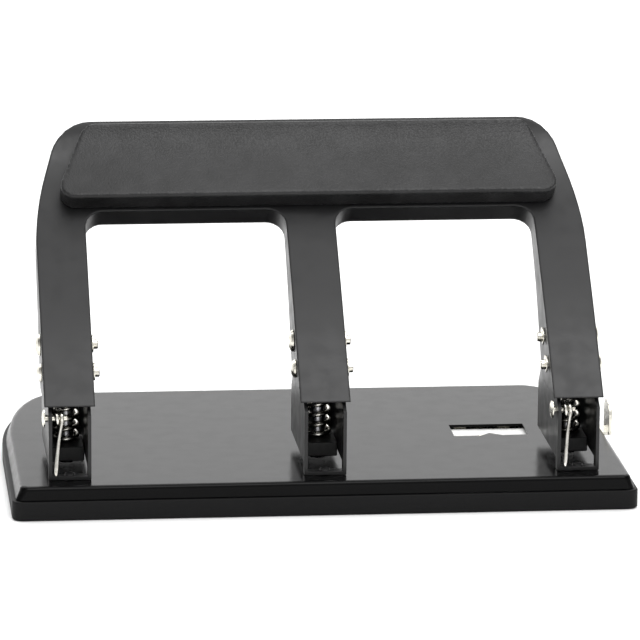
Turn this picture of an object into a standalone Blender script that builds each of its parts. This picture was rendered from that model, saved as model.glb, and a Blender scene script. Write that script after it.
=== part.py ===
"""Three-hole lever punch: pressed-steel base, three punch heads, one comb-shaped padded handle.

All driving dimensions are in millimetres, measured from the middle of the base in X, from its near
edge in Y and from the table in Z. The near edge is the hinge side; paper enters from the far side.
Objects are built in metres and shifted so that the base is centred on the origin.
"""
import math

import bmesh
import bpy
import numpy as np
from mathutils import Matrix, Vector

MM = 0.001

# Spacing and base
PITCH = 107.95
PLATE_HALF_W = 129.6
PLATE_DEPTH = 162.0
PLATE_TOP = 14.4
PLATE_LOW = 8.5
SHEET = 1.2
EDGE_ROUND = 1.8
NEAR_CORNER_R = 3.5
FAR_CORNER_X = 25.0
FAR_CORNER_Y = 70.0
TRAY_LIP = 1.2
TRAY_HALF_W = 132.8
PLATE_FLARE = 1.7
TRAY_TOP = 8.2
TRAY_WALL = 1.8
TRAY_FLOOR = 1.6
GAP = 0.3

# View window in the base and the paper guide below it
WINDOW_X = (63.2, 95.8)
WINDOW_Y = (70.2, 90.7)
WINDOW_SKEW = 1.6
BUMP_X = (73.6, 84.6)
BUMP_TIP = 75.8
GUIDE_Y = (80.0, 105.0)
GUIDE_X = (15.0, 133.3)
GUIDE_Z = (10.0, 11.4)
NOTCH_TOP = 13.1
LUG_TOP = 12.8
LUG_HALF_W = 2.8
STRIP_THICK = 0.5
GUIDE_NECK = 4.0
TAB_Y = (84.0, 98.0)
TAB_TOP = 24.8
STRIP_X = (58.0, 104.0)
STRIP_Y = (80.3, 91.3)
LUG_X = (69.0, 88.3)
KEEPER_X = (78.0, 116.0)

# Punch heads
HEAD_HALF_W = 8.95
HEAD_WALL = 1.5
HEAD_NEAR = 9.5
HEAD_FAR = 67.0
HEAD_FOOT_END = 14.5
THROAT_TOP = 19.6
HEAD_LOW_TOP = 40.0
HEAD_TOP = 61.0
HEAD_BACK_SLOPE = (9.0, 10.0)
HEAD_BACK_LEAN = 11.0
HEAD_FRONT_LOW = 42.0
HEAD_FRONT_TURN = (13.0, 44.0)
PIVOT_ARC = (99.0, 112.0, 125.0, 137.4)
PIVOT = (31.0, 56.0)
PIVOT_CLEARANCE = 5.2
DRIVE = (42.0, 65.5)
SLOT = (39.2, 48.6, 54.0)
PIN_R = 2.1
HOLE_R = 2.18
PUNCH_Y = 43.0
PUNCH_R = 3.55
PUNCH_HOLE_R = 3.75
PUNCH_TIP = 20.2
PUNCH_TOP = 62.7
DIE_R = 7.0
SPRING_R = 4.9
SPRING_WIRE = 1.05
SPRING_PITCH = 3.9
GUIDE_BLOCK_Y = (30.0, 50.0)
GUIDE_BLOCK_Z = (17.4, 23.6)
GUIDE_BLOCK_GAP = 0.2
CAP_Z = (57.0, 59.0)
CAP_R = 6.2
PIN_HEAD_R = {"pivot": 4.0, "drive": 4.8}

# Return spring pins on the two outer heads
TORSION = (16.0, 40.0)
TORSION_PIN_R = 1.5
TORSION_COIL_R = 3.4
TORSION_WIRE = 0.95
TORSION_TURNS = 1.55
TORSION_START = 200.0
TORSION_COIL_X = (-3.0, -6.2)
TORSION_ARM = ((-6.2, 5.6, 16.7), (-5.8, 6.8, 22.0), (-4.6, 10.4, 34.0))
TORSION_LEG = ((-6.2, 21.5, 48.0), (-6.2, 25.2, 55.0))
TORSION_PIN_END = -1.0
TORSION_HEAD = ((-2.6, 0.8), (-2.4, 2.6), (-1.9, 3.7), (-1.4, 3.8))
RIVET_R = 1.6
TURN_STEPS = 12

# Handle: centre line of the near face, as (Y, Z), and the sheet around it.  Distances "S" are measured
# along that line from its first point.
PROFILE = (
    (11.5, 46.7),
    (39.0, 74.9),
    (67.5, 101.5),
    (86.0, 117.9),
    (99.0, 131.3),
    (105.5, 140.3),
    (109.0, 147.6),
)
PROFILE_LEAD = 40.0
PROFILE_TAIL = 4.0
HANDLE_SHEET = 1.5
HANDLE_SIDE = 1.4
HANDLE_ROUND = 2.0
HANDLE_DEPTHS = ((-40.0, 29.0), (0.0, 26.0), (35.0, 22.5), (66.0, 14.7), (92.0, 11.3), (160.0, 11.3))
HANDLE_TOP_S = 142.6
LEG_BOTTOM = 46.0
LEG_HALF_W = 10.65
LEG_END_S = -30.0
SHOULDER = (118.8, 99.0)
SHOULDER_R = 145.0
HANDLE_TOP_HALF_W = 107.0
TOP_CORNER_R = 18.0
CROSSBAR_S = 98.5
WINDOW_CORNER_R = 8.0
CUT_DIR = (-0.72, 0.69)

# Pad
PAD_S = (99.7, 136.4)
PAD_TOP_HALF_W = 96.8
PAD_LOW_HALF_W = 110.8
PAD_LOW_CORNER_R = 6.5
PAD_TOP_CORNER_R = 8.5
PAD_THICK = 10.0
PAD_ROUND = 3.4

MATERIALS = {
    "base_enamel": ((0.26, 0.26, 0.27), 0.28, 0.0),
    "tray_plastic": ((0.030, 0.030, 0.032), 0.55, 0.0),
    "head_steel": ((0.022, 0.022, 0.024), 0.32, 0.0),
    "handle_steel": ((0.070, 0.070, 0.074), 0.42, 0.0),
    "pad_vinyl": ((0.075, 0.075, 0.078), 0.60, 0.0),
    "zinc": ((0.72, 0.70, 0.64), 0.28, 1.0),
    "spring_steel": ((0.78, 0.76, 0.70), 0.25, 1.0),
    "tool_steel": ((0.30, 0.30, 0.31), 0.35, 1.0),
    "block_plastic": ((0.020, 0.020, 0.021), 0.50, 0.0),
    "strip_white": ((0.86, 0.86, 0.84), 0.50, 0.0),
}


# ------------------------------------------------------------------ helpers
def clear_scene():
    """Remove everything that a fresh file starts with."""
    for old in list(bpy.data.objects):
        bpy.data.objects.remove(old, do_unlink=True)


def material(name):
    """Return the named Principled material, making it the first time."""
    found = bpy.data.materials.get(name)
    if found:
        return found
    colour, rough, metal = MATERIALS[name]
    made = bpy.data.materials.new(name)
    made.use_nodes = True
    shader = made.node_tree.nodes["Principled BSDF"]
    shader.inputs["Base Color"].default_value = (*colour, 1.0)
    shader.inputs["Roughness"].default_value = rough
    shader.inputs["Metallic"].default_value = metal
    made.diffuse_color = (*colour, 1.0)
    return made


def to_object(name, bm, mat, origin=(0.0, 0.0, 0.0)):
    """Turn millimetre geometry into a named object whose origin lies at the given point."""
    bmesh.ops.remove_doubles(bm, verts=bm.verts, dist=1e-5)
    bmesh.ops.recalc_face_normals(bm, faces=bm.faces)
    centre = Vector(origin)
    for vert in bm.verts:
        vert.co = (vert.co - centre) * MM
    mesh = bpy.data.meshes.new(name)
    bm.to_mesh(mesh)
    bm.free()
    obj = bpy.data.objects.new(name, mesh)
    obj.location = centre * MM
    bpy.context.scene.collection.objects.link(obj)
    if mat:
        mesh.materials.append(material(mat))
    return obj


def loft(bm, rings, closed=False):
    """Join equal rings of points into a skin, capped at both ends unless it is closed on itself."""
    rows = [[bm.verts.new(p) for p in ring] for ring in rings]
    count = len(rows[0])
    pairs = list(zip(rows, rows[1:]))
    if closed:
        pairs.append((rows[-1], rows[0]))
    for low, high in pairs:
        for i in range(count):
            j = (i + 1) % count
            bm.faces.new((low[i], low[j], high[j], high[i]))
    if not closed:
        bm.faces.new(list(reversed(rows[0])))
        bm.faces.new(rows[-1])


def prism_x(bm, points, x0, x1):
    """Extrude a (Y, Z) polygon along X."""
    loft(bm, [[(x, y, z) for y, z in points] for x in (x0, x1)])


def prism_z(bm, points, z0, z1):
    """Extrude an (X, Y) polygon along Z."""
    loft(bm, [[(x, y, z) for x, y in points] for z in (z0, z1)])


def box(bm, low, high):
    """Add a box between two corners."""
    prism_z(bm, [(low[0], low[1]), (high[0], low[1]), (high[0], high[1]), (low[0], high[1])], low[2], high[2])


def lathe(bm, profile, centre, axis, segments=24):
    """Revolve (distance along the axis, radius) pairs round X or Z; the end radii close the solid."""
    rings = []
    for along, radius in profile:
        ring = []
        for i in range(segments):
            turn = 2.0 * math.pi * i / segments
            a = radius * math.cos(turn)
            b = radius * math.sin(turn)
            if axis == "X":
                ring.append((centre[0] + along, centre[1] + a, centre[2] + b))
            else:
                ring.append((centre[0] + a, centre[1] + b, centre[2] + along))
        rings.append(ring)
    loft(bm, rings)


def tube(bm, path, radius, sides=8):
    """Sweep a round wire along a path of points, with flat ends."""
    points = [Vector(p) for p in path]
    rings = []
    normal = None
    for i, point in enumerate(points):
        tangent = (points[min(i + 1, len(points) - 1)] - points[max(i - 1, 0)]).normalized()
        if normal is None:
            normal = tangent.orthogonal().normalized()
        else:
            normal = (normal - tangent * normal.dot(tangent)).normalized()
        other = tangent.cross(normal)
        ring = []
        for k in range(sides):
            turn = 2.0 * math.pi * k / sides
            ring.append(point + normal * (radius * math.cos(turn)) + other * (radius * math.sin(turn)))
        rings.append(ring)
    loft(bm, rings)


def fillet(points, radii, steps=6):
    """Round each corner of a closed polygon by its own radius."""
    out = []
    count = len(points)
    for i in range(count):
        here = np.array(points[i], float)
        radius = radii[i]
        if radius <= 0.0:
            out.append(tuple(here))
            continue
        back = np.array(points[i - 1], float) - here
        ahead = np.array(points[(i + 1) % count], float) - here
        back /= np.linalg.norm(back)
        ahead /= np.linalg.norm(ahead)
        half = 0.5 * math.acos(max(-1.0, min(1.0, float(back @ ahead))))
        middle = (back + ahead) / np.linalg.norm(back + ahead)
        centre = here + middle * (radius / math.sin(half))
        start = here + back * (radius / math.tan(half)) - centre
        end = here + ahead * (radius / math.tan(half)) - centre
        for k in range(steps + 1):
            mix = start * (1.0 - k / steps) + end * (k / steps)
            out.append(tuple(centre + mix * (radius / np.linalg.norm(mix))))
    return out


def grow(points, amount):
    """Offset a counter-clockwise polygon outward (inward when negative)."""
    out = []
    count = len(points)
    for i in range(count):
        before = np.array(points[i]) - np.array(points[i - 1])
        after = np.array(points[(i + 1) % count]) - np.array(points[i])
        before = before / np.linalg.norm(before)
        after = after / np.linalg.norm(after)
        n1 = np.array((before[1], -before[0]))
        n2 = np.array((after[1], -after[0]))
        bisector = (n1 + n2) / np.linalg.norm(n1 + n2)
        out.append(tuple(np.array(points[i]) + bisector * (amount / float(bisector @ n1))))
    return out


def apply_modifiers(obj):
    """Replace an object's mesh by its evaluated one."""
    graph = bpy.context.evaluated_depsgraph_get()
    mesh = bpy.data.meshes.new_from_object(obj.evaluated_get(graph))
    obj.modifiers.clear()
    old = obj.data
    obj.data = mesh
    mesh.name = obj.name
    if old.users == 0:
        bpy.data.meshes.remove(old)


def combine(obj, tool, operation="DIFFERENCE"):
    """Boolean an object with a tool, which is then removed."""
    mod = obj.modifiers.new("cut", "BOOLEAN")
    mod.operation = operation
    mod.solver = "EXACT"
    mod.object = tool
    apply_modifiers(obj)
    bpy.data.objects.remove(tool, do_unlink=True)
    return obj


def bevel(obj, width, segments, angle=35.0):
    """Round an object's sharp edges."""
    mod = obj.modifiers.new("round", "BEVEL")
    mod.width = width * MM
    mod.segments = segments
    mod.limit_method = "ANGLE"
    mod.angle_limit = math.radians(angle)
    mod.harden_normals = False
    apply_modifiers(obj)


def cutter(build):
    """Make an unnamed tool object from a function that fills a bmesh."""
    bm = bmesh.new()
    build(bm)
    return to_object("tool", bm, None)


# ------------------------------------------------------------------ base
def base_outline():
    """Plan of the plate, counter-clockwise: tight near corners and long swept far corners."""
    points = []
    near = [(-PLATE_HALF_W, 40.0), (-PLATE_HALF_W, 0.0), (PLATE_HALF_W, 0.0), (PLATE_HALF_W, 40.0)]
    rounded = fillet(near, [0.0, NEAR_CORNER_R, NEAR_CORNER_R, 0.0], 4)
    points += rounded[1:-1]
    centre_x = PLATE_HALF_W - FAR_CORNER_X
    centre_y = PLATE_DEPTH - FAR_CORNER_Y
    steps = 14
    for i in range(steps + 1):
        turn = 0.5 * math.pi * i / steps
        points.append((centre_x + FAR_CORNER_X * math.cos(turn), centre_y + FAR_CORNER_Y * math.sin(turn)))
    for i in range(steps + 1):
        turn = 0.5 * math.pi * (1.0 + i / steps)
        points.append((-centre_x + FAR_CORNER_X * math.cos(turn), centre_y + FAR_CORNER_Y * math.sin(turn)))
    return points


def ring(points, z):
    """Lift a plan outline to a height."""
    return [(x, y, z) for x, y in points]


def widen(points, half_w):
    """Scale a plan outline in X alone so that it reaches the given half width."""
    scale = half_w / max(x for x, y in points)
    return [(x * scale, y) for x, y in points]


def make_base_plate():
    """Pressed pan with a rounded top edge, a view window, die holes and a notch for the guide."""
    outline = base_outline()
    inner = grow(outline, -SHEET)
    flared = widen(outline, PLATE_HALF_W + PLATE_FLARE)
    flared_inner = widen(inner, PLATE_HALF_W + PLATE_FLARE - SHEET)
    bm = bmesh.new()
    stack = [ring(inner, PLATE_TOP - SHEET), ring(flared_inner, PLATE_LOW), ring(flared, PLATE_LOW)]
    for i in range(4):
        turn = 0.5 * math.pi * i / 3.0
        inset = EDGE_ROUND * (1.0 - math.cos(turn))
        height = PLATE_TOP - EDGE_ROUND * (1.0 - math.sin(turn))
        stack.append(ring(grow(outline, -inset), height))
    loft(bm, stack)
    plate = to_object("base_plate", bm, "base_enamel")
    window = [(WINDOW_X[0], WINDOW_Y[0]), (BUMP_X[0], WINDOW_Y[0]), (0.5 * sum(BUMP_X), BUMP_TIP)]
    window += [(BUMP_X[1], WINDOW_Y[0] + WINDOW_SKEW), (WINDOW_X[1], WINDOW_Y[0] + WINDOW_SKEW)]
    window += [(WINDOW_X[1], WINDOW_Y[1]), (WINDOW_X[0], WINDOW_Y[1])]
    combine(plate, cutter(lambda bm: prism_z(bm, window, PLATE_TOP - 3.0, PLATE_TOP + 2.0)))
    low = (PLATE_HALF_W - 3.0, GUIDE_Y[0] - 1.0, PLATE_LOW - 1.0)
    high = (PLATE_HALF_W + 3.0, GUIDE_Y[1] + 1.0, NOTCH_TOP)
    combine(plate, cutter(lambda bm: box(bm, low, high)))
    for x in (-PITCH, 0.0, PITCH):
        ends = ((PLATE_TOP - 3.0, PUNCH_HOLE_R), (PLATE_TOP + 2.0, PUNCH_HOLE_R))
        combine(plate, cutter(lambda bm: lathe(bm, ends, (x, PUNCH_Y, 0.0), "Z", 32)))
        ends = ((PLATE_TOP - 3.0, RIVET_R), (PLATE_TOP + 2.0, RIVET_R))
        combine(plate, cutter(lambda bm: lathe(bm, ends, (x, foot_y(), 0.0), "Z", 16)))
    return plate


def make_chip_tray():
    """Shallow plastic tray that closes the base from below and catches the chips."""
    outer = widen(grow(base_outline(), TRAY_LIP), TRAY_HALF_W)
    inner = grow(outer, -TRAY_WALL)
    hinge = (0.0, -TRAY_LIP, TRAY_TOP)
    bm = bmesh.new()
    stack = [ring(inner, TRAY_FLOOR), ring(inner, TRAY_TOP), ring(grow(outer, -0.4), TRAY_TOP)]
    stack += [ring(outer, TRAY_TOP - 0.4), ring(outer, 0.5), ring(grow(outer, -0.5), 0.0)]
    loft(bm, stack)
    return to_object("chip_tray", bm, "tray_plastic", hinge)


def foot_y():
    """Y of the rivet that holds each head down."""
    return 0.5 * (HEAD_NEAR + HEAD_FOOT_END)


def make_guide():
    """Sliding bar below the plate, with an upright rounded tab at its outer end and two lugs."""
    bm = bmesh.new()
    box(bm, (GUIDE_X[0], GUIDE_Y[0], GUIDE_Z[0]), (GUIDE_X[1] - GUIDE_NECK, GUIDE_Y[1], GUIDE_Z[1]))
    guide = to_object("paper_guide", bm, "zinc")
    neck_y = (TAB_Y[0] + 1.0, TAB_Y[1] - 1.0)
    neck_low = (GUIDE_X[1] - 6.0, neck_y[0], GUIDE_Z[0])
    combine(guide, cutter(lambda bm: box(bm, neck_low, (GUIDE_X[1] + 0.5, neck_y[1], GUIDE_Z[1]))), "UNION")
    tab = [(TAB_Y[0], GUIDE_Z[0]), (TAB_Y[1], GUIDE_Z[0]), (TAB_Y[1], TAB_TOP), (TAB_Y[0], TAB_TOP)]
    tab = fillet(tab, [1.0, 1.0, 6.2, 6.2], 6)
    combine(guide, cutter(lambda bm: prism_x(bm, tab, GUIDE_X[1], GUIDE_X[1] + 1.5)), "UNION")
    for x in LUG_X:
        low = (x - LUG_HALF_W, GUIDE_Y[0] + 16.5, GUIDE_Z[0] + 0.5)
        high = (x + LUG_HALF_W, GUIDE_Y[0] + 19.0, LUG_TOP)
        combine(guide, cutter(lambda bm: box(bm, low, high)), "UNION")
    bm = bmesh.new()
    seat = GUIDE_Z[1] + GAP
    box(bm, (STRIP_X[0], STRIP_Y[0], seat), (STRIP_X[1], STRIP_Y[1], seat + STRIP_THICK))
    to_object("scale_strip", bm, "strip_white")
    for side, x in zip(("inner", "outer"), KEEPER_X):
        make_keeper("guide_keeper_" + side, x)


def make_keeper(name, x):
    """Strap that carries the guide bar below the plate."""
    top = PLATE_TOP - SHEET - GAP
    low = GUIDE_Z[0] - GAP
    y0 = GUIDE_Y[0] - 0.4
    y1 = GUIDE_Y[1] + 0.4
    strap = [(y0 - 5.0, top - 1.0), (y0 - 1.0, top - 1.0), (y0 - 1.0, low - 1.0), (y1 + 1.0, low - 1.0)]
    strap += [(y1 + 1.0, top - 1.0), (y1 + 5.0, top - 1.0), (y1 + 5.0, top), (y1, top)]
    strap += [(y1, low), (y0, low), (y0, top), (y0 - 5.0, top)]
    bm = bmesh.new()
    prism_x(bm, strap, x - 3.0, x + 3.0)
    to_object(name, bm, "zinc")


# ------------------------------------------------------------------ heads
def head_side():
    """Side view of a head, counter-clockwise seen from +X with Y to the right."""
    low = PLATE_TOP + GAP
    points = [(HEAD_NEAR, low), (HEAD_FOOT_END, low), (HEAD_FOOT_END, THROAT_TOP), (HEAD_FAR, THROAT_TOP)]
    points += [(HEAD_FAR, HEAD_LOW_TOP), (HEAD_FAR - HEAD_BACK_SLOPE[0], HEAD_LOW_TOP + HEAD_BACK_SLOPE[1])]
    points.append((HEAD_FAR - HEAD_BACK_LEAN, HEAD_TOP))
    points += [(SLOT[1], HEAD_TOP), (SLOT[1], SLOT[2]), (SLOT[0], SLOT[2]), (SLOT[0], HEAD_TOP)]
    for angle in PIVOT_ARC:
        turn = math.radians(angle)
        y = PIVOT[0] + PIVOT_CLEARANCE * math.cos(turn)
        z = PIVOT[1] + PIVOT_CLEARANCE * math.sin(turn)
        points.append((y, z))
    points += [HEAD_FRONT_TURN, (HEAD_NEAR, HEAD_FRONT_LOW)]
    return points


def make_head(side, x, sprung):
    """Channel-shaped punch head, open to the near side, with its throat above the plate."""
    bm = bmesh.new()
    prism_x(bm, head_side(), x - HEAD_HALF_W, x + HEAD_HALF_W)
    head = to_object("head_frame_" + side, bm, "head_steel")
    inner = HEAD_HALF_W - HEAD_WALL
    low = (x - inner, HEAD_NEAR - 10.0, PLATE_TOP + GAP + HEAD_WALL)
    high = (x + inner, HEAD_FAR - HEAD_WALL, HEAD_TOP + 10.0)
    combine(head, cutter(lambda bm: box(bm, low, high)))
    reach = HEAD_HALF_W + 10.0
    holes = [(PIVOT, HOLE_R, reach)]
    if sprung:
        holes.append((TORSION, TORSION_PIN_R + 0.05, 0.0))
    for (y, z), radius, end in holes:
        ends = ((-reach, radius), (end, radius))
        combine(head, cutter(lambda bm: lathe(bm, ends, (x, y, z), "X", 24)))
    ends = ((PLATE_TOP - 2.0, RIVET_R), (PLATE_TOP + 3.0, RIVET_R))
    combine(head, cutter(lambda bm: lathe(bm, ends, (x, foot_y(), 0.0), "Z", 16)))
    return head


def make_foot_rivet(side, x):
    """Rivet through the head's foot and the plate."""
    low = PLATE_TOP - SHEET - 1.3
    seat = PLATE_TOP + GAP + HEAD_WALL + 0.1
    profile = [(low, RIVET_R), (low, 2.3), (PLATE_TOP - SHEET - 0.1, 2.3), (PLATE_TOP - SHEET - 0.1, 1.5)]
    profile += [(seat, 1.5), (seat, 2.3), (seat + 0.7, 2.1), (seat + 1.2, 1.2)]
    bm = bmesh.new()
    lathe(bm, profile, (x, foot_y(), 0.0), "Z", 16)
    to_object("foot_rivet_" + side, bm, "head_steel")


def make_punch(side, x):
    """Hardened punch pin with a concave cutting tip and a flat top."""
    profile = [(PUNCH_TIP + 0.9, 0.6), (PUNCH_TIP, PUNCH_R - 0.15), (PUNCH_TIP + 0.3, PUNCH_R)]
    profile += [(PUNCH_TOP - 0.6, PUNCH_R), (PUNCH_TOP, PUNCH_R - 0.6)]
    bm = bmesh.new()
    lathe(bm, profile, (x, PUNCH_Y, 0.0), "Z", 28)
    to_object("punch_pin_" + side, bm, "tool_steel", (x, PUNCH_Y, PUNCH_TIP))


def make_cap(side, x):
    """Collar on the punch that the spring pushes up against."""
    inner = PUNCH_R + 0.05
    edge = CAP_R - 0.3
    rings = [(CAP_Z[0], inner), (CAP_Z[0], edge), (CAP_Z[0] + 0.3, CAP_R), (CAP_Z[1] - 0.3, CAP_R)]
    rings += [(CAP_Z[1], edge), (CAP_Z[1], inner)]
    bm = bmesh.new()
    closed_lathe(bm, rings, (x, PUNCH_Y), 28)
    to_object("spring_cap_" + side, bm, "zinc", (x, PUNCH_Y, CAP_Z[0]))


def closed_lathe(bm, profile, centre, segments):
    """Revolve a closed (height, radius) loop round a vertical axis to make a ring."""
    rows = []
    for i in range(segments):
        turn = 2.0 * math.pi * i / segments
        rows.append([(centre[0] + r * math.cos(turn), centre[1] + r * math.sin(turn), z) for z, r in profile])
    loft(bm, rows, closed=True)


def make_punch_spring(side, x):
    """Compression spring round the punch, between the guide block and the cap."""
    low = GUIDE_BLOCK_Z[1] + GAP + SPRING_WIRE
    high = CAP_Z[0] - GAP - SPRING_WIRE
    turns = (high - low) / SPRING_PITCH
    steps = int(turns * TURN_STEPS)
    path = []
    for i in range(steps + 1):
        turn = 2.0 * math.pi * turns * i / steps
        height = low + (high - low) * i / steps
        path.append((x + SPRING_R * math.cos(turn), PUNCH_Y + SPRING_R * math.sin(turn), height))
    bm = bmesh.new()
    tube(bm, path, SPRING_WIRE, 6)
    to_object("punch_spring_" + side, bm, "spring_steel", (x, PUNCH_Y, low - SPRING_WIRE))


def make_guide_block(side, x):
    """Block between the head's walls that guides the punch above the throat."""
    reach = HEAD_HALF_W - HEAD_WALL - GUIDE_BLOCK_GAP
    low = (x - reach, GUIDE_BLOCK_Y[0], GUIDE_BLOCK_Z[0])
    high = (x + reach, GUIDE_BLOCK_Y[1], GUIDE_BLOCK_Z[1])
    bm = bmesh.new()
    box(bm, low, high)
    block = to_object("guide_block_" + side, bm, "block_plastic")
    bevel(block, 0.6, 2)
    ends = ((GUIDE_BLOCK_Z[0] - 2.0, PUNCH_HOLE_R), (GUIDE_BLOCK_Z[1] + 2.0, PUNCH_HOLE_R))
    combine(block, cutter(lambda bm: lathe(bm, ends, (x, PUNCH_Y, 0.0), "Z", 28)))


def make_die(side, x):
    """Steel die ring below the plate."""
    top = PLATE_TOP - SHEET - GAP
    loop = [(top - 3.4, PUNCH_HOLE_R), (top - 3.4, DIE_R - 0.4), (top - 3.0, DIE_R), (top, DIE_R)]
    loop.append((top, PUNCH_HOLE_R))
    bm = bmesh.new()
    closed_lathe(bm, loop, (x, PUNCH_Y), 28)
    to_object("die_ring_" + side, bm, "tool_steel")


def make_cross_pin(name, x, spot, sign, radius, head_r):
    """Pin across a leg: domed head against one side, grooved end past the other."""
    y, z = spot
    face = LEG_HALF_W + 0.15
    profile = [(face + 2.1, head_r * 0.25), (face + 1.8, head_r * 0.62), (face + 1.1, head_r * 0.9)]
    profile += [(face + 0.2, head_r), (face, head_r * 0.97), (face, radius)]
    profile += [(-face - 0.2, radius), (-face - 0.2, radius - 0.4), (-face - 1.0, radius - 0.4)]
    profile += [(-face - 1.0, radius), (-face - 2.6, radius), (-face - 2.9, radius - 0.3)]
    bm = bmesh.new()
    lathe(bm, [(sign * a, r) for a, r in profile], (x, y, z), "X", 16)
    to_object(name, bm, "zinc", (x, y, z))


def make_clip(name, x, spot, sign, radius):
    """Retaining clip in the groove of a pin's end."""
    y, z = spot
    face = LEG_HALF_W + 0.15
    outer = radius + 1.9
    inner = radius - 0.35
    arc = []
    steps = 18
    for i in range(steps + 1):
        turn = math.radians(-50.0 + 280.0 * i / steps)
        arc.append((y + outer * math.cos(turn), z + outer * math.sin(turn)))
    for i in range(steps + 1):
        turn = math.radians(230.0 - 280.0 * i / steps)
        arc.append((y + inner * math.cos(turn), z + inner * math.sin(turn)))
    a = x + sign * (face + 0.28)
    b = x + sign * (face + 0.92)
    bm = bmesh.new()
    prism_x(bm, arc, min(a, b), max(a, b))
    to_object(name, bm, "zinc", (x, y, z))


def make_torsion(side, x):
    """Rivet pin and wire return spring of an outer head."""
    y, z = TORSION
    left = x - HEAD_HALF_W
    profile = list(TORSION_HEAD) + [(TORSION_HEAD[-1][0], TORSION_PIN_R)]
    end = HEAD_HALF_W + TORSION_PIN_END
    profile += [(end, TORSION_PIN_R), (end + 0.3, TORSION_PIN_R - 0.4)]
    bm = bmesh.new()
    lathe(bm, profile, (left, y, z), "X", 24)
    to_object("torsion_pin_" + side, bm, "zinc", (left, y, z))
    path = [(x + a, b, c) for a, b, c in TORSION_ARM]
    steps = int(TORSION_TURNS * TURN_STEPS)
    start = math.radians(TORSION_START)
    for i in range(steps + 1):
        turn = start - 2.0 * math.pi * TORSION_TURNS * i / steps
        shift = TORSION_COIL_X[0] + (TORSION_COIL_X[1] - TORSION_COIL_X[0]) * i / steps
        path.append((x + shift, y + TORSION_COIL_R * math.cos(turn), z + TORSION_COIL_R * math.sin(turn)))
    path += [(x + a, b, c) for a, b, c in TORSION_LEG]
    bm = bmesh.new()
    tube(bm, path, TORSION_WIRE, 6)
    to_object("torsion_spring_" + side, bm, "spring_steel", (x, y, z))


# ------------------------------------------------------------------ handle
def smooth_profile(steps=5):
    """Catmull-Rom samples of the handle's near face, with a straight run at each end."""
    points = [np.array(p, float) for p in PROFILE]
    first = points[0] * 2.0 - points[1]
    last = points[-1] * 2.0 - points[-2]
    chain = [first] + points + [last]
    out = []
    for i in range(1, len(chain) - 2):
        p0, p1, p2, p3 = chain[i - 1:i + 3]
        for k in range(steps):
            t = k / steps
            a = 2.0 * p1 + (p2 - p0) * t
            b = (2.0 * p0 - 5.0 * p1 + 4.0 * p2 - p3) * t * t
            c = (3.0 * p1 - p0 - 3.0 * p2 + p3) * t ** 3
            out.append(0.5 * (a + b + c))
    out.append(points[-1])
    start = out[0] - (out[1] - out[0]) / np.linalg.norm(out[1] - out[0]) * PROFILE_LEAD
    end = out[-1] + (out[-1] - out[-2]) / np.linalg.norm(out[-1] - out[-2]) * PROFILE_TAIL
    return [start] + out + [end]


def offset_curve(curve, amount):
    """Shift an open (Y, Z) curve toward the far side by an amount, or by one amount for each point."""
    amounts = amount if isinstance(amount, list) else [amount] * len(curve)
    out = []
    for i, point in enumerate(curve):
        tangent = curve[min(i + 1, len(curve) - 1)] - curve[max(i - 1, 0)]
        tangent = tangent / np.linalg.norm(tangent)
        out.append(point + np.array((tangent[1], -tangent[0])) * amounts[i])
    return out


def side_depths(curve, extra=0.0):
    """Depth of the handle's side walls at each point of the curve."""
    stations = [s for s, depth in HANDLE_DEPTHS]
    depths = [depth for s, depth in HANDLE_DEPTHS]
    total = -PROFILE_LEAD
    out = []
    for i, point in enumerate(curve):
        if i > 0:
            total += float(np.linalg.norm(point - curve[i - 1]))
        out.append(float(np.interp(total, stations, depths)) + extra)
    return out


def along(curve, distance):
    """Point on the curve at a distance from the first profile point."""
    total = -PROFILE_LEAD
    for a, b in zip(curve, curve[1:]):
        step = float(np.linalg.norm(b - a))
        if total + step >= distance:
            return a + (b - a) * ((distance - total) / step)
        total += step
    direction = (curve[-1] - curve[-2]) / np.linalg.norm(curve[-1] - curve[-2])
    return curve[-1] + direction * (distance - total)


def cut_height(curve, distance):
    """Coordinate of a profile point across the cutting direction."""
    point = along(curve, distance)
    return float(point[0] * CUT_DIR[1] - point[1] * CUT_DIR[0])


def slab(bm, front, back, half_w):
    """Curved plate between two (Y, Z) curves."""
    points = [tuple(p) for p in front] + [tuple(p) for p in reversed(back)]
    prism_x(bm, points, -half_w, half_w)


def prism_cut(bm, outline, reach=(-60.0, 60.0)):
    """Prism of an (X, cut height) outline along the cutting direction."""
    u = Vector((0.0, CUT_DIR[1], -CUT_DIR[0])).normalized()
    n = Vector((0.0, CUT_DIR[0], CUT_DIR[1])).normalized()
    rings = []
    for depth in reach:
        rings.append([Vector((x, 0.0, 0.0)) + u * t + n * depth for x, t in outline])
    loft(bm, rings)


def comb_outline(curve, inset):
    """Front view of the handle: a crossbar with three legs, shrunk by an inset."""
    low = cut_height(curve, LEG_END_S)
    top = cut_height(curve, HANDLE_TOP_S - inset)
    points = [(PITCH + LEG_HALF_W - inset, low), (SHOULDER[0] - inset, cut_height(curve, SHOULDER[1]))]
    points.append((HANDLE_TOP_HALF_W - inset, top))
    radii = [0.0, SHOULDER_R, TOP_CORNER_R - inset]
    points += [(-x, y) for x, y in reversed(points)]
    radii += list(reversed(radii))
    bar = cut_height(curve, CROSSBAR_S + inset)
    leg = LEG_HALF_W - inset
    corner = WINDOW_CORNER_R + inset
    for left, right in ((-PITCH, 0.0), (0.0, PITCH)):
        points += [(left + leg, low), (left + leg, bar), (right - leg, bar), (right - leg, low)]
        radii += [0.0, corner, corner, 0.0]
    return fillet(points, radii, 6)


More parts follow.
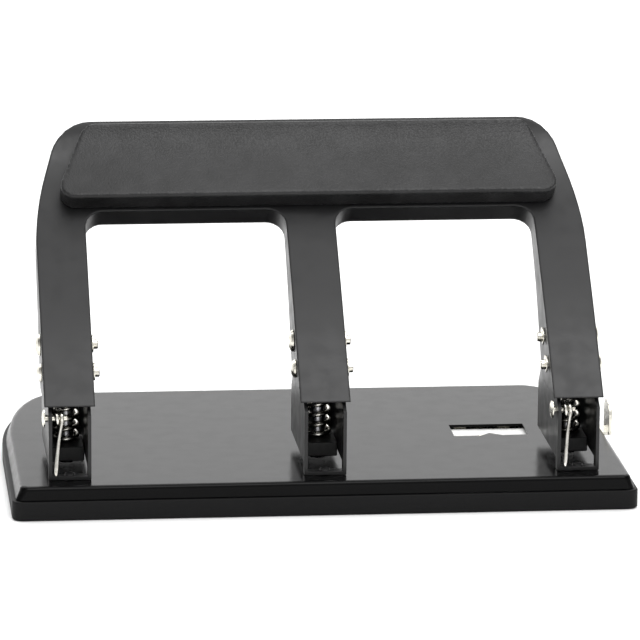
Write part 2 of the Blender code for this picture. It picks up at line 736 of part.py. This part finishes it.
def make_handle():
    """Comb-shaped pressed handle: a hollow crossbar and three channel legs, open to the far side."""
    curve = smooth_profile()
    spare = 3.0 * HANDLE_ROUND
    bm = bmesh.new()
    slab(bm, curve, offset_curve(curve, side_depths(curve, spare)), PLATE_HALF_W)
    handle = to_object("handle_frame", bm, "handle_steel")
    combine(handle, cutter(lambda bm: prism_cut(bm, comb_outline(curve, 0.0))), "INTERSECT")
    low_box = ((-200.0, -100.0, -50.0), (200.0, 200.0, LEG_BOTTOM))
    combine(handle, cutter(lambda bm: box(bm, *low_box)))
    bevel(handle, HANDLE_ROUND, 3)
    inner_front = offset_curve(curve, HANDLE_SHEET)
    outer_back = offset_curve(curve, side_depths(curve, 3.0 * spare))
    bm = bmesh.new()
    slab(bm, inner_front, outer_back, PLATE_HALF_W)
    cavity = to_object("tool", bm, None)
    combine(cavity, cutter(lambda bm: prism_cut(bm, comb_outline(curve, HANDLE_SIDE))), "INTERSECT")
    combine(handle, cavity)
    back = offset_curve(curve, side_depths(curve))
    combine(handle, cutter(lambda bm: slab(bm, back, outer_back, PLATE_HALF_W + 10.0)))
    for x in (-PITCH, 0.0, PITCH):
        for y, z in (PIVOT, DRIVE):
            ends = ((-14.0, HOLE_R), (14.0, HOLE_R))
            combine(handle, cutter(lambda bm: lathe(bm, ends, (x, y, z), "X", 24)))
    move_origin(handle, (0.0, *PIVOT))
    return curve


def move_origin(obj, point):
    """Put an object's origin at a point without moving its mesh."""
    shift = Vector(point) * MM - obj.location
    obj.data.transform(Matrix.Translation(-shift))
    obj.location = obj.location + shift


def make_pad(curve):
    """Padded grip on the near face of the crossbar."""
    bm = bmesh.new()
    slab(bm, offset_curve(curve, -PAD_THICK), offset_curve(curve, -GAP), PLATE_HALF_W)
    pad = to_object("handle_pad", bm, "pad_vinyl")
    low = cut_height(curve, PAD_S[0])
    top = cut_height(curve, PAD_S[1])
    points = [(-PAD_LOW_HALF_W, low), (PAD_LOW_HALF_W, low), (PAD_TOP_HALF_W, top), (-PAD_TOP_HALF_W, top)]
    radii = [PAD_LOW_CORNER_R, PAD_LOW_CORNER_R, PAD_TOP_CORNER_R, PAD_TOP_CORNER_R]
    outline = fillet(points, radii, 7)
    combine(pad, cutter(lambda bm: prism_cut(bm, outline)), "INTERSECT")
    bevel(pad, PAD_ROUND, 3)
    move_origin(pad, (0.0, *PIVOT))


# ------------------------------------------------------------------ assembly
def build():
    """Build every piece, then centre the base on the origin."""
    clear_scene()
    make_chip_tray()
    make_base_plate()
    make_guide()
    for side, x in (("left", -PITCH), ("middle", 0.0), ("right", PITCH)):
        sprung = side != "middle"
        head_sign = 1.0 if side == "right" else -1.0
        make_head(side, x, sprung)
        make_foot_rivet(side, x)
        make_punch(side, x)
        make_cap(side, x)
        make_punch_spring(side, x)
        make_guide_block(side, x)
        make_die(side, x)
        for kind, spot in (("pivot", PIVOT), ("drive", DRIVE)):
            make_cross_pin(f"{kind}_pin_{side}", x, spot, head_sign, PIN_R, PIN_HEAD_R[kind])
            make_clip(f"{kind}_clip_{side}", x, spot, -head_sign, PIN_R)
        if sprung:
            make_torsion(side, x)
    curve = make_handle()
    make_pad(curve)
    for obj in bpy.context.scene.objects:
        obj.location.y -= 0.5 * PLATE_DEPTH * MM
        for poly in obj.data.polygons:
            poly.use_smooth = False


build()
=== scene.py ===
"""Looks for the three-hole desk punch: enamel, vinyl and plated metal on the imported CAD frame.

Lengths are metres in the frame's own axes: X right, Y away from the viewer, Z up. Angles are degrees
where a name ends in ANGLE or SHARP, and radians for the camera.
"""
import math

import bmesh
import bpy
from mathutils import Matrix, Vector


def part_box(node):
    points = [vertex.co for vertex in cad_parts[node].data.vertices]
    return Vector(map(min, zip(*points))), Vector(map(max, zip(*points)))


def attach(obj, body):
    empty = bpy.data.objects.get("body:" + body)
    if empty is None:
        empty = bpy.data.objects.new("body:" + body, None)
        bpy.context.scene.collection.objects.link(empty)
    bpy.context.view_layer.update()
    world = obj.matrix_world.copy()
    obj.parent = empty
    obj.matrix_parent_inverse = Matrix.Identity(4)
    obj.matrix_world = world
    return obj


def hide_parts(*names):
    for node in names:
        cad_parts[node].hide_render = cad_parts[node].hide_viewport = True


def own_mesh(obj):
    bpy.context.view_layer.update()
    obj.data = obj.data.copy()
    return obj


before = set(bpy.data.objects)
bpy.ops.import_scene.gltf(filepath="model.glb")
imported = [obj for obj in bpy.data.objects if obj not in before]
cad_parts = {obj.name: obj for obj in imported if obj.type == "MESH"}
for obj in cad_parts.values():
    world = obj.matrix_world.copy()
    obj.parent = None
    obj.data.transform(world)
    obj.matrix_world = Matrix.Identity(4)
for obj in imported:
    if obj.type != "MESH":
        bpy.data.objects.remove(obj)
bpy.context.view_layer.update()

MM = 0.001
SIDES = ("left", "middle", "right")
SPRUNG_SIDES = ("left", "right")

# Camera: a long lens from the near side, a little to the left of the punch and above it
CAMERA_PLACE = (-0.2206, -2.0937, 0.5637)
CAMERA_YAW = 0.10725
CAMERA_PITCH = 0.23249
CAMERA_ROLL = 0.00856
CAMERA_LENS = 280.17
CAMERA_REACH = 50.0
SENSOR = 36.0

# Sky strengths. High up they run from the viewer's side over the top to the rear; low down they run
# from the viewer's side along the sides to the back.
SKY_FRONT = 1.60
SKY_TOP = 1.00
SKY_REAR = 2.60
SKY_NEAR = 0.80
SKY_SIDE = 0.28
SKY_BACK = 1.68
SKY_ASIDE = 0.2

# Where one sky strength passes to the next, as shares of a unit direction
BAND_FRONT = (-0.70, -0.25)
BAND_REAR = (0.0, 0.35)
BAND_NEAR = (-0.80, -0.25)
BAND_BACK = (0.25, 0.80)
BAND_ABOVE = (0.40, 0.75)
BAND_ASIDE = (0.10, 0.45)

# Soft light over the near side
PANEL_PLACE = (0.30, -0.85, 1.60)
PANEL_TARGET = (0.0, 0.0, 0.0)
PANEL_SIZE = (1.1, 0.9)
PANEL_POWER = 15.0

# Table top
FLOOR_HALF = 6.0
FLOOR_DROP = 0.0002
FLOOR_WHITE = (0.92, 0.92, 0.92)
FLOOR_ROUGH = 0.9

# Edges: the width that a bevel takes off each kind of piece
PAN_EDGE = 0.25 * MM
HEAD_EDGE = 0.3 * MM
CLIP_EDGE = 0.12 * MM
GUIDE_EDGE = 0.2 * MM
CARD_EDGE = 0.1 * MM
EDGE_SEGMENTS = 2
EDGE_ANGLE = 32.0
PAN_ANGLE = 40.0

# Pressed edges of the handle, rounded in its shading
PRESSED_EDGE = 1.25 * MM
PRESSED_SAMPLES = 6

# Mesh clean-up and shading
WELD = 1e-6
FLAT_ANGLE = 0.4
PIECE_SHARP = 35.0
NORMAL_WEIGHT = 60

# Springs. The wire is given by its radius; part of a turn lies flat at each end.
SPRING_WIRE = 1.05 * MM
SPRING_TURNS = 8.4
SPRING_FLAT = 0.75
SPRING_STEPS = 20
SPRING_SHARP = 50.0
WIRE_SIDES = 12
RETURN_SHARP = 60.0
RETURN_LEVELS = 2

# Vinyl grip
PAD_VOXEL = 1.0 * MM
PAD_SMOOTHING = 5
PAD_SOFTNESS = 0.5
PAD_DOME = 0.7 * MM

# Colours
BLACK_ENAMEL = (0.002, 0.002, 0.0021)
HANDLE_BLACK = (0.011, 0.011, 0.0115)
HEAD_BLACK = (0.008, 0.008, 0.0083)
VINYL = (0.0095, 0.0095, 0.0098)
PLASTIC = (0.0036, 0.0036, 0.0038)
BLOCK = (0.010, 0.010, 0.010)
ZINC = (0.80, 0.775, 0.69)
ZINC_DARK = (0.52, 0.50, 0.44)
WIRE = (0.86, 0.84, 0.78)
WIRE_DARK = (0.45, 0.43, 0.38)
STEEL = (0.42, 0.42, 0.43)
STEEL_DARK = (0.24, 0.24, 0.25)
WHITE = (0.88, 0.88, 0.86)


# ------------------------------------------------------------------ studio
def make_camera():
    """Place the camera by its yaw, pitch and roll."""
    cy, sy = math.cos(CAMERA_YAW), math.sin(CAMERA_YAW)
    cp, sp = math.cos(CAMERA_PITCH), math.sin(CAMERA_PITCH)
    cr, sr = math.cos(CAMERA_ROLL), math.sin(CAMERA_ROLL)
    ahead = Vector((sy * cp, cy * cp, -sp))
    right = Vector((cy, -sy, 0.0))
    up = right.cross(ahead)
    x_axis = right * cr + up * sr
    y_axis = up * cr - right * sr
    data = bpy.data.cameras.new("camera")
    data.sensor_width = SENSOR
    data.lens = CAMERA_LENS
    data.clip_end = CAMERA_REACH
    obj = bpy.data.objects.new("camera", data)
    turn = Matrix((x_axis, y_axis, -ahead)).transposed().to_4x4()
    obj.matrix_world = Matrix.Translation(CAMERA_PLACE) @ turn
    bpy.context.scene.collection.objects.link(obj)
    bpy.context.scene.camera = obj


def make_floor():
    """Plain white table top, a hair below the tray."""
    half = FLOOR_HALF
    mesh = bpy.data.meshes.new("floor")
    corners = [(-half, -half, 0.0), (half, -half, 0.0), (half, half, 0.0), (-half, half, 0.0)]
    mesh.from_pydata(corners, [], [(0, 1, 2, 3)])
    obj = bpy.data.objects.new("floor", mesh)
    obj.location.z = -FLOOR_DROP
    bpy.context.scene.collection.objects.link(obj)
    mat = bpy.data.materials.new("floor_white")
    mat.use_nodes = True
    shader = mat.node_tree.nodes["Principled BSDF"]
    shader.inputs["Base Color"].default_value = (*FLOOR_WHITE, 1.0)
    shader.inputs["Roughness"].default_value = FLOOR_ROUGH
    shader.inputs["Specular IOR Level"].default_value = 0.0
    mesh.materials.append(mat)


def ramp(tree, value, band, at_start, at_end):
    """Blend smoothly from one number to another as a value passes through a band."""
    node = tree.nodes.new("ShaderNodeMapRange")
    node.interpolation_type = "SMOOTHSTEP"
    tree.links.new(value, node.inputs["Value"])
    node.inputs["From Min"].default_value, node.inputs["From Max"].default_value = band
    node.inputs["To Min"].default_value = at_start
    node.inputs["To Max"].default_value = at_end
    return node.outputs["Result"]


def combine(tree, operation, a, b):
    """Join two numbers by a math operation."""
    node = tree.nodes.new("ShaderNodeMath")
    node.operation = operation
    for socket, value in zip(node.inputs, (a, b)):
        if isinstance(value, float):
            socket.default_value = value
        else:
            tree.links.new(value, socket)
    return node.outputs[0]


def make_world():
    """White room: bright above and behind the punch, dimmer at the sides and toward the viewer."""
    world = bpy.data.worlds.new("studio")
    world.use_nodes = True
    tree = world.node_tree
    background = tree.nodes["Background"]
    coords = tree.nodes.new("ShaderNodeTexCoord")
    parts = tree.nodes.new("ShaderNodeSeparateXYZ")
    tree.links.new(coords.outputs["Generated"], parts.inputs[0])
    x, y, z = (parts.outputs[axis] for axis in "XYZ")

    across = ramp(tree, y, BAND_BACK, SKY_SIDE, SKY_BACK)
    near = ramp(tree, y, BAND_NEAR, SKY_NEAR - SKY_SIDE, 0.0)
    above = ramp(tree, z, BAND_ABOVE, 0.0, 1.0)
    below = combine(tree, "SUBTRACT", 1.0, above)
    low = combine(tree, "MULTIPLY", combine(tree, "ADD", across, near), below)

    front = ramp(tree, y, BAND_FRONT, SKY_FRONT, SKY_TOP)
    rear = ramp(tree, y, BAND_REAR, 0.0, SKY_REAR)
    aside = combine(tree, "MULTIPLY", x, x)
    fade = ramp(tree, aside, BAND_ASIDE, 1.0, SKY_ASIDE)
    high = combine(tree, "MULTIPLY", above, combine(tree, "ADD", front, rear))
    high = combine(tree, "MULTIPLY", high, fade)

    background.inputs["Color"].default_value = (1.0, 1.0, 1.0, 1.0)
    tree.links.new(combine(tree, "ADD", low, high), background.inputs["Strength"])
    bpy.context.scene.world = world


def make_panel():
    """Soft rectangular light aimed at the punch."""
    data = bpy.data.lights.new("panel_top", "AREA")
    data.shape = "RECTANGLE"
    data.size, data.size_y = PANEL_SIZE
    data.energy = PANEL_POWER
    obj = bpy.data.objects.new("panel_top", data)
    ahead = (Vector(PANEL_TARGET) - Vector(PANEL_PLACE)).normalized()
    obj.rotation_euler = ahead.to_track_quat("-Z", "Y").to_euler()
    obj.location = PANEL_PLACE
    bpy.context.scene.collection.objects.link(obj)


# ------------------------------------------------------------------ materials
def start_material(name):
    """New Principled material; returns it with its tree, shader and object coordinates."""
    mat = bpy.data.materials.new(name)
    mat.use_nodes = True
    tree = mat.node_tree
    shader = tree.nodes["Principled BSDF"]
    coords = tree.nodes.new("ShaderNodeTexCoord").outputs["Object"]
    return mat, tree, shader, coords


def noise(tree, coords, scale, detail=2.0, stretch=None):
    """Noise value over object coordinates, optionally stretched along an axis."""
    if stretch:
        mapping = tree.nodes.new("ShaderNodeMapping")
        mapping.inputs["Scale"].default_value = stretch
        tree.links.new(coords, mapping.inputs["Vector"])
        coords = mapping.outputs["Vector"]
    node = tree.nodes.new("ShaderNodeTexNoise")
    node.inputs["Scale"].default_value = scale
    node.inputs["Detail"].default_value = detail
    tree.links.new(coords, node.inputs["Vector"])
    return node.outputs["Fac"]


def cells(tree, coords, scale, feature="F1"):
    """Voronoi distance, for grain."""
    node = tree.nodes.new("ShaderNodeTexVoronoi")
    node.feature = feature
    node.inputs["Scale"].default_value = scale
    tree.links.new(coords, node.inputs["Vector"])
    return node.outputs["Distance"]


def scaled(colour, factor):
    """Colour times a number."""
    return tuple(c * factor for c in colour)


def tint(tree, shader, value, dark, light):
    """Blend the base colour between two colours by a value."""
    node = tree.nodes.new("ShaderNodeMix")
    node.data_type = "RGBA"
    node.inputs["A"].default_value = (*dark, 1.0)
    node.inputs["B"].default_value = (*light, 1.0)
    tree.links.new(value, node.inputs["Factor"])
    tree.links.new(node.outputs["Result"], shader.inputs["Base Color"])


def polish(tree, shader, value, band, low, high):
    """Blend the roughness between two numbers as a value passes through a band."""
    tree.links.new(ramp(tree, value, band, low, high), shader.inputs["Roughness"])


def add_bump(tree, shader, height, strength, distance, under=None):
    """Drive the shader's normal from a height, over the normal of the layer under it."""
    node = tree.nodes.new("ShaderNodeBump")
    node.inputs["Strength"].default_value = strength
    node.inputs["Distance"].default_value = distance
    tree.links.new(height, node.inputs["Height"])
    if under:
        tree.links.new(under, node.inputs["Normal"])
    tree.links.new(node.outputs["Normal"], shader.inputs["Normal"])
    return node.outputs["Normal"]


def enamel(name, colour, rough, specular, peel, edge=0.0):
    """Baked enamel: faint clouding, uneven gloss, orange peel and edges rounded by a radius."""
    mat, tree, shader, coords = start_material(name)
    cloud = noise(tree, coords, scale=45.0, detail=3.0)
    tint(tree, shader, cloud, scaled(colour, 0.8), scaled(colour, 1.2))
    patches = noise(tree, coords, scale=130.0, detail=4.0)
    polish(tree, shader, patches, (0.3, 0.7), rough * 0.85, rough * 1.15)
    shader.inputs["Specular IOR Level"].default_value = specular
    waves = noise(tree, coords, scale=420.0, detail=1.0)
    rounded = None
    if edge > 0.0:
        soft = tree.nodes.new("ShaderNodeBevel")
        soft.samples = PRESSED_SAMPLES
        soft.inputs["Radius"].default_value = edge
        rounded = soft.outputs["Normal"]
    first = add_bump(tree, shader, waves, strength=peel, distance=0.0002, under=rounded)
    dust = noise(tree, coords, scale=2600.0, detail=2.0)
    add_bump(tree, shader, dust, strength=peel * 0.5, distance=0.00006, under=first)
    return mat


def plating(name, light, dark, rough, grain):
    """Plated or ground metal with drawn streaks and dull patches."""
    mat, tree, shader, coords = start_material(name)
    stain = noise(tree, coords, scale=260.0, detail=5.0)
    share = ramp(tree, stain, (0.35, 0.75), 0.0, 0.8)
    tint(tree, shader, share, light, dark)
    streak = noise(tree, coords, scale=900.0, detail=3.0, stretch=grain)
    polish(tree, shader, streak, (0.25, 0.75), rough * 0.7, rough * 1.35)
    shader.inputs["Metallic"].default_value = 1.0
    add_bump(tree, shader, streak, strength=0.25, distance=0.00003)
    return mat


def moulded(name, colour, rough, specular):
    """Moulded plastic with a fine spark-eroded texture."""
    mat, tree, shader, coords = start_material(name)
    cloud = noise(tree, coords, scale=30.0, detail=3.0)
    tint(tree, shader, cloud, scaled(colour, 0.85), scaled(colour, 1.15))
    speck = cells(tree, coords, scale=2300.0)
    polish(tree, shader, speck, (0.0, 0.8), rough * 0.9, rough * 1.1)
    shader.inputs["Specular IOR Level"].default_value = specular
    add_bump(tree, shader, speck, strength=0.35, distance=0.00008)
    return mat


def vinyl():
    """Soft grained vinyl with slight clouding."""
    mat, tree, shader, coords = start_material("pad_vinyl_grained")
    cloud = combine(tree, "MULTIPLY", noise(tree, coords, scale=26.0, detail=4.0), 0.6)
    blotch = combine(tree, "MULTIPLY", noise(tree, coords, scale=120.0, detail=3.0), 0.4)
    share = ramp(tree, combine(tree, "ADD", cloud, blotch), (0.38, 0.62), 0.0, 1.0)
    tint(tree, shader, share, scaled(VINYL, 0.60), scaled(VINYL, 1.50))
    grain = cells(tree, coords, scale=1500.0, feature="SMOOTH_F1")
    fine = noise(tree, coords, scale=2800.0, detail=3.0)
    polish(tree, shader, grain, (0.1, 0.7), 0.36, 0.50)
    shader.inputs["Specular IOR Level"].default_value = 0.36
    first = add_bump(tree, shader, grain, strength=0.55, distance=0.00020)
    add_bump(tree, shader, fine, strength=0.25, distance=0.00008, under=first)
    return mat


def paper_white():
    """Matt white strip, faintly yellowed in places."""
    mat, tree, shader, coords = start_material("strip_white_card")
    cloud = noise(tree, coords, scale=90.0, detail=3.0)
    tint(tree, shader, cloud, scaled(WHITE, 0.96), WHITE)
    shader.inputs["Roughness"].default_value = 0.55
    fibre = noise(tree, coords, scale=1800.0, detail=2.0)
    add_bump(tree, shader, fibre, strength=0.15, distance=0.00005)
    return mat


MATERIALS = {
    "base_enamel": enamel("base_enamel_gloss", BLACK_ENAMEL, rough=0.19, specular=0.08, peel=0.02),
    "handle_steel": enamel("handle_enamel_satin", HANDLE_BLACK, rough=0.36, specular=0.34,
                           peel=0.10, edge=PRESSED_EDGE),
    "head_steel": enamel("head_enamel_satin", HEAD_BLACK, rough=0.34, specular=0.36, peel=0.08),
    "tray_plastic": moulded("tray_plastic_matt", PLASTIC, rough=0.55, specular=0.16),
    "block_plastic": moulded("block_plastic_matt", BLOCK, rough=0.5, specular=0.4),
    "pad_vinyl": vinyl(),
    "zinc": plating("zinc_plate", ZINC, ZINC_DARK, rough=0.24, grain=(1.0, 1.0, 0.15)),
    "spring_steel": plating("spring_wire", WIRE, WIRE_DARK, rough=0.20, grain=(0.2, 1.0, 1.0)),
    "tool_steel": plating("ground_tool_steel", STEEL, STEEL_DARK, rough=0.28, grain=(1.0, 1.0, 0.1)),
    "strip_white": paper_white(),
}


# ------------------------------------------------------------------ mesh helpers
def to_object(bm, name):
    """New object in the scene from an edited mesh, which is then freed."""
    mesh = bpy.data.meshes.new(name)
    bm.to_mesh(mesh)
    bm.free()
    obj = bpy.data.objects.new(name, mesh)
    bpy.context.scene.collection.objects.link(obj)
    return obj


def take_copy(node, name, whole=True):
    """New object with a welded copy of a CAD node's mesh, its flat faces whole again if asked."""
    bm = bmesh.new()
    bm.from_mesh(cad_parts[node].data)
    bmesh.ops.remove_doubles(bm, verts=bm.verts, dist=WELD)
    if whole:
        flat = math.radians(FLAT_ANGLE)
        bmesh.ops.dissolve_limit(bm, angle_limit=flat, verts=bm.verts, edges=bm.edges)
    return to_object(bm, name)


def apply_modifiers(obj):
    """Bake an object's modifiers into its mesh."""
    graph = bpy.context.evaluated_depsgraph_get()
    mesh = bpy.data.meshes.new_from_object(obj.evaluated_get(graph))
    obj.modifiers.clear()
    old = obj.data
    obj.data = mesh
    bpy.data.meshes.remove(old)


def shade(obj, angle=PIECE_SHARP):
    """Smooth the curved faces, keep real corners crisp and let large faces set the normals."""
    mesh = obj.data
    for face in mesh.polygons:
        face.use_smooth = True
    mesh.set_sharp_from_angle(angle=math.radians(angle))
    weighted = obj.modifiers.new("normals", "WEIGHTED_NORMAL")
    weighted.keep_sharp = True
    weighted.weight = NORMAL_WEIGHT


def finish_piece(obj, slot, body, *nodes):
    """Give a piece its material and body, and hide the CAD nodes it stands for."""
    obj.data.materials.clear()
    obj.data.materials.append(MATERIALS[slot])
    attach(obj, body)
    if nodes:
        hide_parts(*nodes)


def refine(node, name, slot, body, width=0.0, angle=EDGE_ANGLE, whole=True):
    """Piece with the CAD node's exact shape and, where a width is given, softly broken edges."""
    obj = take_copy(node, name, whole)
    if width > 0.0:
        mod = obj.modifiers.new("edges", "BEVEL")
        mod.width = width
        mod.segments = EDGE_SEGMENTS
        mod.limit_method = "ANGLE"
        mod.angle_limit = math.radians(angle)
        apply_modifiers(obj)
    shade(obj)
    finish_piece(obj, slot, body, node)


def helix(centre, radius, low, high):
    """Path of a compression spring whose end turns lie flat."""
    count = int(SPRING_TURNS * SPRING_STEPS)
    path = []
    for i in range(count + 1):
        share = i / count
        rise = (share * SPRING_TURNS - SPRING_FLAT) / (SPRING_TURNS - 2.0 * SPRING_FLAT)
        height = low + (high - low) * min(1.0, max(0.0, rise))
        turn = 2.0 * math.pi * SPRING_TURNS * share
        path.append((centre[0] + radius * math.cos(turn), centre[1] + radius * math.sin(turn), height))
    return path


def tube(name, path, radius):
    """Round wire along a path of points, closed at both ends."""
    points = [Vector(p) for p in path]
    bm = bmesh.new()
    rows = []
    normal = None
    for i, point in enumerate(points):
        tangent = (points[min(i + 1, len(points) - 1)] - points[max(i - 1, 0)]).normalized()
        if normal is None:
            normal = tangent.orthogonal().normalized()
        else:
            normal = (normal - tangent * normal.dot(tangent)).normalized()
        other = tangent.cross(normal)
        row = []
        for k in range(WIRE_SIDES):
            turn = 2.0 * math.pi * k / WIRE_SIDES
            spot = point + normal * (radius * math.cos(turn)) + other * (radius * math.sin(turn))
            row.append(bm.verts.new(spot))
        rows.append(row)
    for low, high in zip(rows, rows[1:]):
        for k in range(WIRE_SIDES):
            j = (k + 1) % WIRE_SIDES
            bm.faces.new((low[k], low[j], high[j], high[k]))
    bm.faces.new(list(reversed(rows[0])))
    bm.faces.new(rows[-1])
    return to_object(bm, name)


# ------------------------------------------------------------------ pieces
def make_base():
    """Enamelled base plate and the plastic tray below it.

    The plate keeps its CAD triangles, so that its flat faces stay exactly where the sliding strip
    expects them.
    """
    refine("base_plate", "base_pan", "base_enamel", "base", PAN_EDGE, PAN_ANGLE, whole=False)
    refine("chip_tray", "tray_shell", "tray_plastic", "tray", PAN_EDGE, PAN_ANGLE)


def make_heads():
    """Punch heads, their foot rivets, guide blocks and dies, and the punches with their collars."""
    for side in SIDES:
        refine("head_frame_" + side, "head_shell_" + side, "head_steel", "base", HEAD_EDGE)
        refine("foot_rivet_" + side, "foot_rivet_head_" + side, "head_steel", "base")
        refine("guide_block_" + side, "guide_block_body_" + side, "block_plastic", "base")
        refine("die_ring_" + side, "die_" + side, "tool_steel", "base")
        refine("punch_pin_" + side, "punch_" + side, "tool_steel", "punch_" + side)
        refine("spring_cap_" + side, "spring_collar_" + side, "zinc", "punch_" + side)


def make_pins():
    """Cross pins, clips and the stub pins of the return springs."""
    for side in SIDES:
        for kind in ("pivot", "drive"):
            refine(f"{kind}_pin_{side}", f"{kind}_axle_{side}", "zinc", "handle")
            refine(f"{kind}_clip_{side}", f"{kind}_retainer_{side}", "zinc", "handle", CLIP_EDGE)
    for side in SPRUNG_SIDES:
        refine("torsion_pin_" + side, "torsion_stud_" + side, "zinc", "base")


def make_guide():
    """Sliding paper guide with its keepers and the white strip."""
    refine("paper_guide", "guide_bar", "zinc", "guide", GUIDE_EDGE)
    refine("guide_keeper_inner", "keeper_inner", "zinc", "base", GUIDE_EDGE)
    refine("guide_keeper_outer", "keeper_outer", "zinc", "base", GUIDE_EDGE)
    refine("scale_strip", "scale_card", "strip_white", "guide", CARD_EDGE)


def make_punch_springs():
    """Bright compression springs, held by the collar and carried with the punch."""
    for side in SIDES:
        low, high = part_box("punch_spring_" + side)
        middle = 0.5 * (low + high)
        radius = 0.5 * (high.x - low.x) - SPRING_WIRE
        path = helix(middle, radius, low.z + SPRING_WIRE, high.z - SPRING_WIRE)
        spring = tube("coil_" + side, path, SPRING_WIRE)
        shade(spring, SPRING_SHARP)
        finish_piece(spring, "spring_steel", "punch_" + side, "punch_spring_" + side)
        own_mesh(spring)


def make_return_springs():
    """Torsion return springs with their wire rounded."""
    for side in SPRUNG_SIDES:
        spring = take_copy("torsion_spring_" + side, "return_coil_" + side)
        smooth = spring.modifiers.new("rounder", "SUBSURF")
        smooth.levels = RETURN_LEVELS
        smooth.render_levels = RETURN_LEVELS
        apply_modifiers(spring)
        shade(spring, RETURN_SHARP)
        finish_piece(spring, "spring_steel", "base", "torsion_spring_" + side)


def make_handle():
    """Pressed handle."""
    refine("handle_frame", "handle_shell", "handle_steel", "handle")


def make_pad():
    """Crowned vinyl grip: the CAD pad remeshed, its edges softened and its face slightly domed."""
    obj = take_copy("handle_pad", "pad_grip")
    low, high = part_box("handle_pad")
    remesh = obj.modifiers.new("remesh", "REMESH")
    remesh.mode = "VOXEL"
    remesh.voxel_size = PAD_VOXEL
    smooth = obj.modifiers.new("smooth", "SMOOTH")
    smooth.factor = PAD_SOFTNESS
    smooth.iterations = PAD_SMOOTHING
    apply_modifiers(obj)
    half_w = 0.5 * (high.x - low.x)
    middle = 0.5 * (low + high)
    along = Vector((0.0, high.y - low.y, high.z - low.z)).normalized()
    outward = Vector((0.0, -along.z, along.y))
    half_v = 0.5 * math.hypot(high.y - low.y, high.z - low.z)
    for vert in obj.data.vertices:
        facing = max(0.0, vert.normal.dot(outward))
        u = (vert.co.x - middle.x) / half_w
        v = (vert.co - middle).dot(along) / half_v
        dome = max(0.0, 1.0 - u ** 4) * max(0.0, 1.0 - v * v)
        vert.co += outward * (PAD_DOME * dome * facing ** 2)
    for face in obj.data.polygons:
        face.use_smooth = True
    finish_piece(obj, "pad_vinyl", "handle", "handle_pad")


make_camera()
make_floor()
make_world()
make_panel()
make_base()
make_heads()
make_pins()
make_guide()
make_punch_springs()
make_return_springs()
make_handle()
make_pad()
bpy.context.scene.view_settings.view_transform = "Standard"
